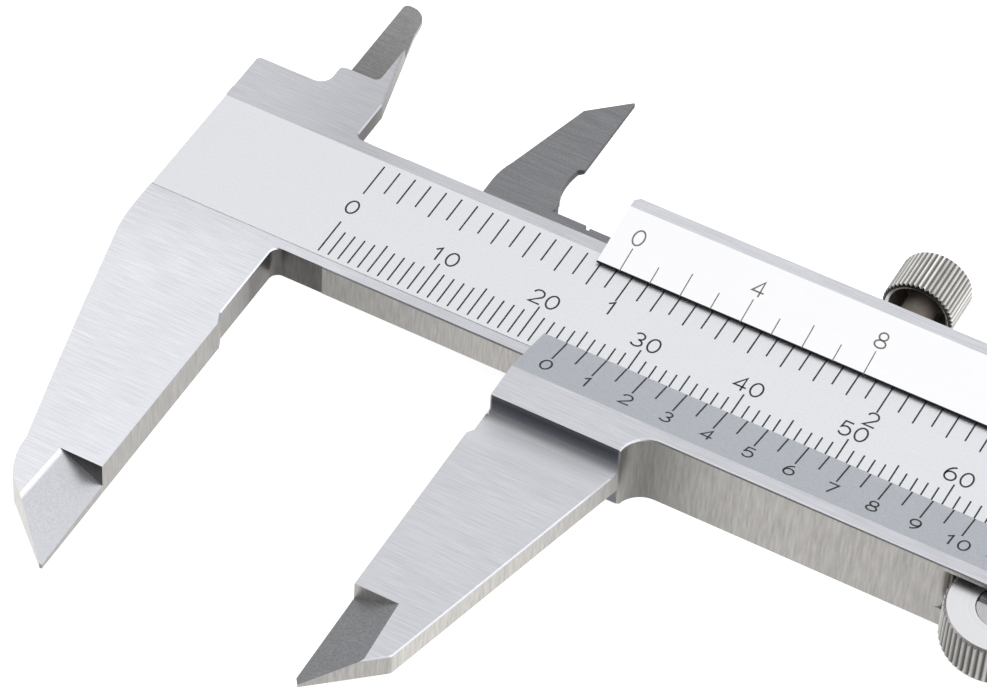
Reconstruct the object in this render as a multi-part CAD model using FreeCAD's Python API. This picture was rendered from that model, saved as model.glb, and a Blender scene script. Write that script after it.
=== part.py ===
"""A 150 mm vernier caliper, one STEP file for each separate piece.

Millimetres. X runs along the beam from the fixed jaws to the depth rod, +Y points
from the outside jaws to the inside jaws, and +Z stands out of the graduated face.
The origin is on the beam's back face, on its centre line, under the scale's zero.
The slider stands at its rest opening, OPENING away from closed.
"""
import FreeCAD, Part
import math
import os

V = FreeCAD.Vector

# ---- driving dimensions -------------------------------------------------------
OPENING = 24.15             # what the caliper reads as drawn
LAST_OPENING = 152.5        # the end stop ends the travel here

BEAM_HALF = 7.8             # half the beam's width
BEAM_THICK = 3.42           # over the two raised rails
BEAM_LEFT = -16.85
BEAM_RIGHT = 216.5
SCALE_Z = 3.30              # the sunk graduated face
SCALE_HALF = 6.46           # half the width of that face
EDGE = 0.12                 # broken edge on ground faces

JAW_FACE = -3.08            # fixed outside face, from the scale's zero
JAW_TIP_Y = -46.87
JAW_RECESS = 0.44           # the face's relief beside the beam
LOWER_RELIEF_Y = -7.66      # the beam's lower edge is ground back to here beside the jaw
RELIEF_END = 1.42
INNER_FACE = -9.2           # fixed inside edge, from the scale's zero
INNER_TIP_Y = 26.35
HALF_Z = 1.60               # the inside jaws share the beam's thickness here
JAW_GAP = 0.05              # clearance between the two inside jaws

SLIDER_LEFT = 21.87
SLIDER_RIGHT = 79.9
SLIDER_TOP_Y = 12.7
SLIDER_LOW_Y = -12.065
SHOULDER_Y = -14.585        # lower edge of the block above the sliding jaw
SHOULDER_X = 34.43          # and its right-hand end, where it bows up to the block's lower edge
SLIDER_FRONT = 5.1
SLIDER_BACK = -2.4
JAW_FRONT = 2.3             # front face of the sliding outside jaw
FIT = 0.03                  # sliding clearance round the beam
CHANNEL_FRONT = 3.47
GIB_THICK = 0.9
CHANNEL_TOP_Y = BEAM_HALF + FIT + GIB_THICK + FIT
WEB_BACK = -1.2             # back of the web behind the beam
VERNIER_EDGE_Y = -4.62
VERNIER_FOOT_Y = -10.725
BEVEL_EDGE_Y = 5.14
BEVEL_HEAD_Y = 11.4
VERNIER_EDGE_Z = 3.37       # underside of the lower vernier's thin edge
BEVEL_EDGE_Z = 3.53         # and of the upper vernier's
FEATHER = 0.06              # thickness left at a thin edge
BRIDGE_X = 70.5             # the front window ends here

GROOVE_HALF = 1.5           # depth rod groove in the beam's back
GROOVE_DEEP = 1.7
GROOVE_LEFT = 44.0
ROD_HALF = 1.4
ROD_LEFT = 71.5

MID_Z = 1.65                # height of the screws that act across the beam
LOCK_X = 48.4
LOCK_R = 3.42
LOCK_FOOT_Y = 15.64
LOCK_HEAD_Y = 20.5
STEM_R = 1.5
PAD_LOW_Y = CHANNEL_TOP_Y + 0.25
PAD_LONG = 1.0

ROLLER_X = 69.3
ROLLER_R = 4.98
ROLLER_Y = -BEAM_HALF - 0.035 - ROLLER_R
ROLLER_LOW = -0.13
ROLLER_HIGH = 4.0
AXLE_R = 1.3
AXLE_HEAD_R = 2.2
AXLE_HEAD_LOW = ROLLER_HIGH - 0.85
LUG_R = 2.8
LUG_TOP = -0.35

STOP_LEFT = SLIDER_RIGHT + LAST_OPENING - OPENING + 0.9
STOP_X = STOP_LEFT + 3.2
STOP_RIGHT = STOP_LEFT + 6.4
STOP_HALF_Y = 5.2
STOP_THICK = 1.0
STOP_SCREW_Y = 3.4
STOP_SCREW_TIP = 2.2
SMALL_SCREW_R = 1.0
SMALL_HEAD_R = 1.7
SMALL_HEAD_DEEP = 0.7
RUN = 0.05                  # running clearance, radial
SLIP = 0.02                 # screws stand this far off their tapped holes, radial

COVER_X = (24.0, 78.0)
COVER_Y = (-6.6, 11.2)
COVER_GAP = 0.06
COVER_SCREWS = tuple((x, y) for x in (27.5, 70.0) for y in (-4.2, 8.8))
COVER_SCREW = (0.8, 1.5, 0.6)       # shank radius, head radius and head depth
ROD_SCREW = (0.7, 1.3, 0.6)
ROD_SCREW_X = ROD_LEFT + 2.5
GIB_SCREW_X = (30.5, 63.5)
GIB_SCREW_R = 1.2


# ---- building blocks ----------------------------------------------------------
def box(x0, x1, y0, y1, z0, z1):
    return Part.makeBox(x1 - x0, y1 - y0, z1 - z0, V(x0, y0, z0))


def cyl_z(x, y, z0, z1, r):
    return Part.makeCylinder(r, z1 - z0, V(x, y, z0), V(0, 0, 1))


def cyl_y(x, z, y0, y1, r):
    return Part.makeCylinder(r, y1 - y0, V(x, y0, z), V(0, 1, 0))


def cone_z(x, y, z0, z1, r0, r1):
    return Part.makeCone(r0, r1, z1 - z0, V(x, y, z0), V(0, 0, 1))


def plate(start, steps, z0, z1):
    """A flat plate. A step is a point for a straight run, or a middle and an end for an arc."""
    here = V(*start, z0)
    edges = []
    for step in steps:
        points = [V(*p, z0) for p in (step if isinstance(step[0], tuple) else (step,))]
        if len(points) == 2:
            edges.append(Part.Arc(here, points[0], points[1]).toShape())
        else:
            edges.append(Part.LineSegment(here, points[0]).toShape())
        here = points[-1]
    edges.append(Part.LineSegment(here, V(*start, z0)).toShape())
    return Part.Face(Part.Wire(edges)).extrude(V(0, 0, z1 - z0))


def bar_x(profile, x0, x1):
    """A bar along X whose section is a list of (y, z) corners."""
    corners = [V(x0, y, z) for y, z in profile]
    return Part.Face(Part.makePolygon(corners + corners[:1])).extrude(V(x1 - x0, 0, 0))


def wedge_y(near, near_y, far, far_y):
    """A solid between two triangles of (x, z) corners, one at each end of a run along Y."""
    ends = []
    for corners, y in ((near, near_y), (far, far_y)):
        points = [V(x, y, z) for x, z in corners]
        ends.append(Part.makePolygon(points + points[:1]))
    return Part.makeLoft(ends, True, True)


def round_corner(p, q, r, s):
    """The arc of radius r that rounds corner q of the path p, q, s: its start, middle and end."""
    q = V(*q, 0)
    u = (V(*p, 0) - q).normalize()
    w = (V(*s, 0) - q).normalize()
    half = math.acos(max(-1.0, min(1.0, u.dot(w)))) / 2
    reach = r / math.tan(half)
    centre = q + (u + w).normalize() * (r / math.sin(half))
    middle = centre + (q - centre).normalize() * r
    first = q + u * reach
    last = q + w * reach
    return (first.x, first.y), (middle.x, middle.y), (last.x, last.y)


def break_edges(shape, size, wanted):
    """Chamfers the edges whose bounding box the test accepts."""
    edges = [e for e in shape.Edges if wanted(e.BoundBox)]
    return shape.makeChamfer(size, edges)


def knurled(radius, depth, count, length):
    """A straight-knurled cylinder along Z with chamfered ends, standing on the origin."""
    points = []
    for i in range(2 * count):
        r = radius if i % 2 else radius - depth
        a = math.pi * i / count
        points.append(V(r * math.cos(a), r * math.sin(a), 0))
    ribs = Part.Face(Part.makePolygon(points + points[:1])).extrude(V(0, 0, length))
    trim = Part.makeCylinder(radius, length)
    trim = trim.makeChamfer(1.4 * depth, [e for e in trim.Edges if e.Closed])
    return ribs.common(trim)


def screw_z(x, y, head_z, tip_z, r, head_r, head_deep):
    """A countersunk slotted screw whose head faces -Z."""
    shank = cyl_z(x, y, head_z, tip_z, r)
    head = cone_z(x, y, head_z, head_z + head_deep, head_r, r)
    slot = box(x - head_r, x + head_r, y - 0.2, y + 0.2, head_z - 0.1, head_z + 0.35)
    return shank.fuse(head).cut(slot).removeSplitter()


def countersink(x, y, head_z, tip_z, r, head_r, head_deep):
    """The hole for screw_z, with clearance all round."""
    hole = cyl_z(x, y, head_z - 0.5, tip_z, r + RUN)
    mouth = cone_z(x, y, head_z, head_z + head_deep, head_r + RUN, r + RUN)
    return hole.fuse(mouth)


# ---- the beam with the two fixed jaws ------------------------------------------
def lower_relief_corner():
    notch = JAW_FACE - JAW_RECESS
    return round_corner((notch, -12.0), (notch, LOWER_RELIEF_Y), 0.9, (0.0, LOWER_RELIEF_Y))


def fixed_outside_jaw():
    notch = JAW_FACE - JAW_RECESS
    shoulder, hip, side = (BEAM_LEFT, -9.6), (-16.1, -14.6), (-10.35, -37.6)
    foot = (-9.1, -41.75)
    root = lower_relief_corner()
    jaw = plate((BEAM_LEFT, 0.0),
                [shoulder, ((-16.66, -12.1), hip), ((-13.35, -26.0), side), ((-9.95, -40.0), foot),
                 (JAW_FACE - 0.25, JAW_TIP_Y), (JAW_FACE, JAW_TIP_Y), (JAW_FACE, -17.9),
                 (notch, -16.9), root[0], root[1:], (RELIEF_END, LOWER_RELIEF_Y), (2.0, 0.0)],
                0.0, BEAM_THICK)
    relief_y = -37.2
    jaw = break_edges(jaw, EDGE, lambda b: b.ZMin > BEAM_THICK - 0.01 and b.YMax < -7.5
                      and b.YMin > relief_y - 0.1 and b.XMax > side[0])
    top = BEAM_THICK + 0.3
    relief_x, past = -7.25, JAW_FACE + 1.0
    return jaw.cut(wedge_y(((relief_x, BEAM_THICK), (past, 0.35), (past, top)), relief_y,
                           ((relief_x - 0.4, BEAM_THICK), (past, -0.15), (past, top)), JAW_TIP_Y - 0.1))


def fixed_inside_jaw():
    """The head's shoulder and the inside jaw: they fill only the front half of the thickness."""
    shoulder_y, land_y = 12.285, 15.05
    corner = round_corner((BEAM_LEFT, 5.0), (BEAM_LEFT, shoulder_y), 0.45, (-12.0, shoulder_y))
    riser = round_corner((-12.0, shoulder_y), (-9.7, shoulder_y), 1.3, (-9.7, 14.5))
    crest = round_corner((-9.7, 13.6), (-9.7, land_y), 0.3, (-8.0, land_y))
    foot = round_corner((-4.0, 12.0), (-4.0, BEAM_HALF), 0.6, (0.0, BEAM_HALF))
    jaw = plate((BEAM_LEFT, 5.0),
                [corner[0], corner[1:], riser[0], riser[1:], crest[0], crest[1:],
                 (INNER_FACE, land_y), (INNER_FACE, 25.9), ((-9.03, 26.22), (-8.6, INNER_TIP_Y)),
                 ((-7.35, 25.95), (-6.7, 24.9)), (-6.5, 23.2), (-4.0, 12.6), foot[0], foot[1:],
                 (-2.8, 5.0)],
                HALF_Z + JAW_GAP, BEAM_THICK)
    jaw = break_edges(jaw, EDGE, lambda b: b.ZMin > BEAM_THICK - 0.01 and b.YMin > 7.0 and b.YMax < 24.0)
    floor = 2.2
    bed = round_corner((INNER_FACE, land_y), (-5.75, land_y), 0.6, (-5.75, 20.0))
    above = INNER_TIP_Y + 1.0
    relief = plate((INNER_FACE - 1.0, land_y),
                   [bed[0], bed[1:], (-5.75, above), (INNER_FACE - 1.0, above)],
                   floor, BEAM_THICK + 1.0)
    return jaw.cut(relief)


def beam():
    bar = box(BEAM_LEFT, BEAM_RIGHT, -BEAM_HALF, BEAM_HALF, 0.0, BEAM_THICK)
    bar = break_edges(bar, EDGE, lambda b: b.XMax - b.XMin > 100.0)
    corner = 1.5
    bar = bar.makeChamfer(corner, [e for e in bar.Edges
                                   if e.BoundBox.XMin > BEAM_RIGHT - 0.01 and e.Length > 2.0
                                   and abs(e.BoundBox.YMax - e.BoundBox.YMin) < 0.01])
    head_back = box(BEAM_LEFT, -3.0, 7.0, BEAM_HALF, 0.0, HALF_Z)
    body = bar.fuse([fixed_outside_jaw(), fixed_inside_jaw(), head_back]).removeSplitter()
    relief = box(-2.75, 1.3, BEAM_HALF - 0.14, BEAM_HALF + 1.0, 0.0, BEAM_THICK)
    root = lower_relief_corner()
    clear = -BEAM_HALF - 1.2
    end = round_corner((0.0, LOWER_RELIEF_Y), (RELIEF_END, LOWER_RELIEF_Y), 0.12, (RELIEF_END, clear))
    lower_relief = plate((root[0][0], clear), [root[0], root[1:], end[0], end[1:], (RELIEF_END, clear)],
                         -1.0, BEAM_THICK + 1.0)
    over = BEAM_THICK + 0.18
    scale = bar_x(((-SCALE_HALF, SCALE_Z), (SCALE_HALF, SCALE_Z),
                   (SCALE_HALF + 0.52, over), (-SCALE_HALF - 0.52, over)),
                  BEAM_LEFT - 1.0, BEAM_RIGHT + 1.0)
    groove = box(GROOVE_LEFT, BEAM_RIGHT + 1.0, -GROOVE_HALF, GROOVE_HALF, -1.0, GROOVE_DEEP)
    body = body.cut([relief, lower_relief, scale, groove])
    for y in (-STOP_SCREW_Y, STOP_SCREW_Y):
        body = body.cut(cyl_z(STOP_X, y, -0.5, STOP_SCREW_TIP + 0.1, SMALL_SCREW_R))
    return body


def end_stop_plate():
    stop = box(STOP_LEFT, STOP_RIGHT, -STOP_HALF_Y, STOP_HALF_Y, -STOP_THICK, 0.0)
    stop = break_edges(stop, 0.2, lambda b: b.ZMax < -STOP_THICK + 0.01)
    for y in (-STOP_SCREW_Y, STOP_SCREW_Y):
        stop = stop.cut(countersink(STOP_X, y, -STOP_THICK, 0.5, SMALL_SCREW_R, SMALL_HEAD_R,
                                    SMALL_HEAD_DEEP))
    return stop


def end_stop_screws():
    return Part.makeCompound([screw_z(STOP_X, y, -STOP_THICK, STOP_SCREW_TIP, SMALL_SCREW_R - SLIP,
                                      SMALL_HEAD_R, SMALL_HEAD_DEEP)
                              for y in (-STOP_SCREW_Y, STOP_SCREW_Y)])


# ---- the slider with the two sliding jaws --------------------------------------
def sliding_outside_jaw():
    face = JAW_FACE + OPENING
    notch = face + JAW_RECESS
    tip_corner = round_corner((SHOULDER_X, SHOULDER_Y), (27.5, -41.7), 0.8, (face + 0.6, JAW_TIP_Y))
    jaw = plate((notch, SHOULDER_Y + 3.0),
                [(notch, -16.6), (face, -17.2), (face, JAW_TIP_Y + 0.7), (face + 0.5, JAW_TIP_Y),
                 tip_corner[2], (tip_corner[1], tip_corner[0]), (SHOULDER_X, SHOULDER_Y),
                 (SHOULDER_X - 1.0, SHOULDER_Y + 3.0)],
                0.0, JAW_FRONT)
    jaw = break_edges(jaw, EDGE, lambda b: b.ZMin > JAW_FRONT - 0.01 and b.XMax - b.XMin > 4.0
                      and b.YMax < SHOULDER_Y + 2.9)
    top = JAW_FRONT + 0.3
    past = face - 1.0
    return jaw.cut(wedge_y(((25.3, JAW_FRONT), (past, -0.1), (past, top)), -36.6,
                           ((25.9, JAW_FRONT), (past, -0.35), (past, top)), JAW_TIP_Y - 0.1))


def sliding_inside_jaw():
    """The rear-half arm along the beam's top edge and the inside jaw that stands on it."""
    edge_x = INNER_FACE + OPENING
    low_y, arm_y = BEAM_HALF + 0.1, 10.35
    jaw = plate((8.3, low_y),
                [(8.3, 10.6), ((8.42, 12.4), (8.85, 13.9)), (11.35, 23.1),
                 (edge_x - 0.15, INNER_TIP_Y), (edge_x, INNER_TIP_Y), (edge_x, 16.4),
                 (edge_x - 0.5, 16.15), ((edge_x - 0.75, 14.5), (edge_x - 0.08, 11.7)),
                 (edge_x - 0.02, 10.8), (edge_x - 0.15, arm_y),
                 (18.3, arm_y), (18.3, arm_y - 0.45), (18.75, arm_y - 0.45),
                 (18.75, arm_y - 0.15), (SLIDER_LEFT + 3.0, arm_y - 0.15),
                 (SLIDER_LEFT + 3.0, low_y)],
                0.0, HALF_Z - JAW_GAP)
    past = edge_x + 1.0
    knife = wedge_y(((edge_x - 2.6, 0.0), (past, 1.45), (past, -0.3)), 11.5,
                    ((edge_x - 2.6, 0.0), (past, 1.45), (past, -0.3)), INNER_TIP_Y + 0.5)
    return jaw.cut(knife)


def slider_block():
    """The block before its openings are cut: one section, deeper in Y above the jaw."""
    section = ((SLIDER_LOW_Y, SLIDER_BACK), (SLIDER_TOP_Y, SLIDER_BACK),
               (SLIDER_TOP_Y, SLIDER_FRONT), (BEVEL_HEAD_Y, SLIDER_FRONT),
               (BEVEL_EDGE_Y, BEVEL_EDGE_Z + FEATHER), (BEVEL_EDGE_Y, BEVEL_EDGE_Z),
               (BEVEL_EDGE_Y + 0.3, CHANNEL_FRONT), (BEVEL_EDGE_Y + 0.3, CHANNEL_FRONT - 1.0),
               (VERNIER_EDGE_Y + 1.0, VERNIER_EDGE_Z - 1.0), (VERNIER_EDGE_Y, VERNIER_EDGE_Z),
               (VERNIER_EDGE_Y, VERNIER_EDGE_Z + FEATHER),
               (VERNIER_FOOT_Y, SLIDER_FRONT), (SLIDER_LOW_Y, SLIDER_FRONT))
    block = bar_x(section, SLIDER_LEFT, SLIDER_RIGHT)
    block = break_edges(block, 0.45, lambda b: b.XMax < SLIDER_LEFT + 0.01
                        and b.YMin > SLIDER_TOP_Y - 0.01)
    bow = SLIDER_LOW_Y - SHOULDER_Y
    bow_mid = bow * (1.0 - math.sqrt(0.5))
    shoulder = plate((SLIDER_LEFT, SLIDER_LOW_Y + 1.0),
                     [(SLIDER_LEFT, SHOULDER_Y), (SHOULDER_X, SHOULDER_Y),
                      ((SHOULDER_X + bow_mid, SLIDER_LOW_Y - bow_mid), (SHOULDER_X + bow, SLIDER_LOW_Y)),
                      (SHOULDER_X + bow, SLIDER_LOW_Y + 1.0)],
                     SLIDER_BACK, SLIDER_FRONT)
    shoulder = break_edges(shoulder, 0.6, lambda b: b.ZMax < SLIDER_BACK + 0.01
                           and b.YMax < SHOULDER_Y + 0.01)
    cove_r = 0.9
    cove_y, cove_z = SHOULDER_Y - cove_r, JAW_FRONT + cove_r
    side_x = SHOULDER_X - 0.24 * cove_r
    cove = plate((SLIDER_LEFT, SHOULDER_Y + 0.1),
                 [(SLIDER_LEFT, cove_y), (side_x, cove_y), (SHOULDER_X, SHOULDER_Y),
                  (SHOULDER_X, SHOULDER_Y + 0.1)], JAW_FRONT - 0.1, cove_z)
    cove = cove.cut(Part.makeCylinder(cove_r, 40.0, V(SLIDER_LEFT - 3.0, cove_y, cove_z), V(1, 0, 0)))
    bridge = box(BRIDGE_X, SLIDER_RIGHT, VERNIER_FOOT_Y, BEVEL_HEAD_Y, CHANNEL_FRONT, SLIDER_FRONT)
    body = block.fuse([shoulder, cove, bridge]).removeSplitter()
    lower = [e for e in body.Edges if e.BoundBox.ZMin > SLIDER_FRONT - 0.01
             and e.BoundBox.XMin > SHOULDER_X - 0.01 and e.BoundBox.YMax < SLIDER_LOW_Y + 0.01]
    return body.makeFillet(0.25, lower)


def slider():
    body = slider_block().fuse([sliding_outside_jaw(), sliding_inside_jaw()]).removeSplitter()
    reach = BEAM_HALF + FIT
    channel = bar_x(((-reach, -FIT), (reach, -FIT), (reach, CHANNEL_FRONT), (0.0, CHANNEL_FRONT),
                     (VERNIER_EDGE_Y, VERNIER_EDGE_Z), (1.0 - SCALE_HALF, VERNIER_EDGE_Z),
                     (0.25 - SCALE_HALF, CHANNEL_FRONT), (-reach, CHANNEL_FRONT)),
                    SLIDER_LEFT - 20.0, SLIDER_RIGHT + 5.0)
    gib_slot = box(SLIDER_LEFT, SLIDER_RIGHT + 5.0, 0.0, CHANNEL_TOP_Y, -FIT, CHANNEL_FRONT)
    seat = box(*COVER_X, *COVER_Y, SLIDER_BACK - 1.0, WEB_BACK)
    slot_top = 4.6
    roller_slot = cyl_z(ROLLER_X, ROLLER_Y, LUG_TOP, slot_top, ROLLER_R + 0.3)
    mouth_r = 1.3
    roller_mouth = box(ROLLER_X - ROLLER_R - mouth_r, ROLLER_X + ROLLER_R + mouth_r,
                       SLIDER_LOW_Y - 5.0, SLIDER_LOW_Y + mouth_r, LUG_TOP, slot_top)
    for side in (-1, 1):
        roller_mouth = roller_mouth.cut(cyl_z(ROLLER_X + side * (ROLLER_R + mouth_r),
                                              SLIDER_LOW_Y + mouth_r, LUG_TOP - 1, 5.0, mouth_r))
    body = body.cut([channel, gib_slot, seat, roller_slot, roller_mouth])
    lug = cyl_z(ROLLER_X, ROLLER_Y, SLIDER_BACK, LUG_TOP, LUG_R)
    lug = lug.fuse(box(ROLLER_X - LUG_R, ROLLER_X + LUG_R, ROLLER_Y, SLIDER_LOW_Y + 0.5,
                       SLIDER_BACK, LUG_TOP))
    body = body.fuse(lug).removeSplitter()
    cuts = [cyl_z(ROLLER_X, ROLLER_Y, SLIDER_BACK - 1.0, 0.0, AXLE_R),
            cyl_y(LOCK_X, MID_Z, 5.0, SLIDER_TOP_Y + 1.0, STEM_R + RUN),
            countersink(ROD_SCREW_X, 0.0, WEB_BACK, 0.5, *ROD_SCREW)]
    cuts += [cyl_y(x, MID_Z, CHANNEL_TOP_Y - 0.5, SLIDER_TOP_Y + 1.0, GIB_SCREW_R)
             for x in GIB_SCREW_X]
    cuts += [cyl_z(x, y, WEB_BACK - 0.5, -0.1, COVER_SCREW[0]) for x, y in COVER_SCREWS]
    return body.cut(cuts)


def gib_strip():
    y0 = BEAM_HALF + FIT
    inset = 1.6
    return box(SLIDER_LEFT + inset, SLIDER_RIGHT - inset, y0, y0 + GIB_THICK, 0.1, SCALE_Z)


def gib_screws():
    screws = []
    for x in GIB_SCREW_X:
        body = cyl_y(x, MID_Z, CHANNEL_TOP_Y, SLIDER_TOP_Y - 0.3, GIB_SCREW_R - SLIP)
        slot = box(x - GIB_SCREW_R, x + GIB_SCREW_R, SLIDER_TOP_Y - 0.9, SLIDER_TOP_Y,
                   MID_Z - 0.2, MID_Z + 0.2)
        screws.append(body.cut(slot))
    return Part.makeCompound(screws)


def back_cover():
    x0, x1 = COVER_X[0] + COVER_GAP, COVER_X[1] - COVER_GAP
    y0, y1 = COVER_Y[0] + COVER_GAP, COVER_Y[1] - COVER_GAP
    cover = box(x0, x1, y0, y1, SLIDER_BACK, WEB_BACK)
    cover = break_edges(cover, 0.15, lambda b: b.ZMax < SLIDER_BACK + 0.01)
    for x, y in COVER_SCREWS:
        cover = cover.cut(countersink(x, y, SLIDER_BACK, WEB_BACK + 0.1, *COVER_SCREW))
    return cover


def cover_screws():
    shank_r, head_r, head_deep = COVER_SCREW
    return Part.makeCompound([screw_z(x, y, SLIDER_BACK, -0.15, shank_r - SLIP, head_r, head_deep)
                              for x, y in COVER_SCREWS])


def depth_rod():
    right = BEAM_RIGHT + OPENING
    rod = box(ROD_LEFT, right, -ROD_HALF, ROD_HALF, 0.1, GROOVE_DEEP - 0.1)
    rod = break_edges(rod, 0.15, lambda b: b.XMax - b.XMin > 50.0)
    notch = box(right - 5.0, right + 1.0, 0.0, ROD_HALF + 1.0, -1.0, BEAM_THICK)
    hole = cyl_z(ROD_SCREW_X, 0.0, -1.0, BEAM_THICK, ROD_SCREW[0])
    return rod.cut([notch, hole])


def rod_screw():
    shank_r, head_r, head_deep = ROD_SCREW
    return screw_z(ROD_SCREW_X, 0.0, WEB_BACK, GROOVE_DEEP - 0.2, shank_r - SLIP, head_r, head_deep)


# ---- the lock ------------------------------------------------------------------
def lock_screw():
    length = LOCK_HEAD_Y - LOCK_FOOT_Y
    head = knurled(LOCK_R, 0.18, 44, length)
    well_r, lip_r = 2.8, 3.05
    well = Part.makeCylinder(well_r, 3.6)
    mouth = Part.makeCone(lip_r, well_r, lip_r - well_r)
    head = head.cut(well.fuse(mouth))
    head.Placement = FreeCAD.Placement(V(LOCK_X, LOCK_FOOT_Y, MID_Z), FreeCAD.Rotation(V(1, 0, 0), -90))
    stem = cyl_y(LOCK_X, MID_Z, PAD_LOW_Y + PAD_LONG + 0.02, LOCK_FOOT_Y + 4.0, STEM_R)
    return head.fuse(stem).removeSplitter()


def lock_pad():
    return cyl_y(LOCK_X, MID_Z, PAD_LOW_Y, PAD_LOW_Y + PAD_LONG, STEM_R - SLIP)


# ---- the thumb roller ----------------------------------------------------------
def thumb_roller():
    wheel = knurled(ROLLER_R, 0.2, 52, ROLLER_HIGH - ROLLER_LOW)
    wheel.translate(V(ROLLER_X, ROLLER_Y, ROLLER_LOW))
    bore = cyl_z(ROLLER_X, ROLLER_Y, ROLLER_LOW - 1.0, ROLLER_HIGH + 1.0, AXLE_R + RUN)
    well = cyl_z(ROLLER_X, ROLLER_Y, AXLE_HEAD_LOW - RUN, ROLLER_HIGH + 1.0, AXLE_HEAD_R + 0.1)
    return wheel.cut([bore, well])


def roller_axle():
    shank = cyl_z(ROLLER_X, ROLLER_Y, SLIDER_BACK + 0.1, AXLE_HEAD_LOW, AXLE_R)
    head = cyl_z(ROLLER_X, ROLLER_Y, AXLE_HEAD_LOW, ROLLER_HIGH - 0.1, AXLE_HEAD_R)
    slot = box(ROLLER_X - AXLE_HEAD_R, ROLLER_X + AXLE_HEAD_R, ROLLER_Y - 0.25, ROLLER_Y + 0.25,
               ROLLER_HIGH - 0.5, ROLLER_HIGH)
    return shank.fuse(head).cut(slot).removeSplitter()


def roller_washer():
    ring = cyl_z(ROLLER_X, ROLLER_Y, LUG_TOP, LUG_TOP + 0.18, LUG_R - 0.2)
    return ring.cut(cyl_z(ROLLER_X, ROLLER_Y, LUG_TOP - 1.0, LUG_TOP + 1.0, AXLE_R + RUN))


NODES = {
    "beam": beam,
    "end_stop_plate": end_stop_plate,
    "end_stop_screws": end_stop_screws,
    "slider": slider,
    "gib_strip": gib_strip,
    "gib_screws": gib_screws,
    "back_cover": back_cover,
    "cover_screws": cover_screws,
    "depth_rod": depth_rod,
    "rod_screw": rod_screw,
    "lock_screw": lock_screw,
    "lock_pad": lock_pad,
    "thumb_roller": thumb_roller,
    "roller_axle": roller_axle,
    "roller_washer": roller_washer,
}

os.makedirs("parts", exist_ok=True)
for name, make in NODES.items():
    shape = make()
    if not shape.isValid():
        raise RuntimeError(name + " is not a valid shape")
    shape.exportStep("parts/" + name + ".step")
    print(name, "solids", len(shape.Solids), "volume", round(shape.Volume, 1))
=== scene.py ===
"""A 150 mm vernier caliper: its engraved scales, its metal finishes and a plain studio."""
import math

import bmesh
import bpy
from bpy.props import FloatProperty, FloatVectorProperty, PointerProperty
from mathutils import Euler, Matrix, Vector


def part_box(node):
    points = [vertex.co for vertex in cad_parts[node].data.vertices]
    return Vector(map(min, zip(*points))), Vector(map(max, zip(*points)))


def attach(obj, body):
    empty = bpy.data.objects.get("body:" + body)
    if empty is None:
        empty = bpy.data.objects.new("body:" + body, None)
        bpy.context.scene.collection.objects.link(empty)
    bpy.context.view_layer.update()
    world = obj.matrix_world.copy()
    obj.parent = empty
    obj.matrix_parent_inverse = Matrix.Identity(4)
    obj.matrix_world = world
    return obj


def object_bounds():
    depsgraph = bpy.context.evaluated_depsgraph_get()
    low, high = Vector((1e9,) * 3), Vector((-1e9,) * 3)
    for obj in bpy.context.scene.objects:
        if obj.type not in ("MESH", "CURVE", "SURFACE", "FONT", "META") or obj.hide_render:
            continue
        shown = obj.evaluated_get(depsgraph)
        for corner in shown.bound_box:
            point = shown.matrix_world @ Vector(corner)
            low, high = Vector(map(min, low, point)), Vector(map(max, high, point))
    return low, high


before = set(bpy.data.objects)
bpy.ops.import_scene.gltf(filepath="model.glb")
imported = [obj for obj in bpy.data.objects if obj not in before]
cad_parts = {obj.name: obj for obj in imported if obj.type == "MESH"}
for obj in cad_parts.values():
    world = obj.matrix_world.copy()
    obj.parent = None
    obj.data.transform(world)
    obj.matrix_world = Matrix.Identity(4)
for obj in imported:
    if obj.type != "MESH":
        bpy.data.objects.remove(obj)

bl_info = {
    "name": "Vernier Caliper",
    "version": (1, 0, 0),
    "blender": (4, 5, 0),
    "location": "3D View > Sidebar > Caliper",
    "description": "Engraved scales, metal finishes and a studio for a vernier caliper",
    "category": "Object",
}

MM = 0.001
INCH = 0.0254
CAD_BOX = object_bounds()
BEAM_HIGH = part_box("beam")[1]
SLIDER_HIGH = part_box("slider")[1]
ROLLER_LOW, ROLLER_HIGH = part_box("thumb_roller")
LOCK_LOW, LOCK_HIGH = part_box("lock_screw")

# Where the part's faces and edges lie, in metres.
SCALE_Z = BEAM_HIGH.z - 0.12 * MM       # the beam's sunk scale
OPENING = 24.15 * MM        # from the beam's zero to the verniers' zero
BAND_HIGH_Y, BAND_HIGH_Z = -4.62 * MM, 3.43 * MM        # the lower vernier's sloped band
BAND_LOW_Y, BAND_LOW_Z = -10.725 * MM, SLIDER_HIGH.z
BEVEL_LOW_Y, BEVEL_LOW_Z = 5.14 * MM, 3.59 * MM         # the upper vernier's bevel
BEVEL_HIGH_Y, BEVEL_HIGH_Z = 11.4 * MM, SLIDER_HIGH.z
TIP_STEP_Y = -37.2 * MM     # the knife relief of the fixed outside jaw starts here
POCKET_Y = -36.4 * MM       # and that of the sliding outside jaw here
RELIEF_Y = 14.0 * MM        # the relief of the fixed inside jaw starts here
RELIEF_Z = 2.6 * MM         # and lies below this height
ARM_Y = 7.7 * MM            # the relief of the sliding inside jaw starts here
NOTCH_END = 1.42 * MM       # the ground relief of the beam's lower edge ends here
BLOCK_LEFT = 21.87 * MM     # left end of the slider's block, beside its jaws
BLOCK_LOW_Y = -12.065 * MM  # the block's lower edge
SHOULDER_Y = -14.585 * MM   # its lower edge above the sliding jaw
SHOULDER_RIGHT = 34.25 * MM  # right end of that edge
LOCK_LIP_IN, LOCK_LIP_OUT = 2.78 * MM, 3.06 * MM    # radii of the lip round the screw's well
LOCK_KNURL, ROLLER_KNURL = 0.18 * MM, 0.2 * MM      # depths of the knurls

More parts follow.
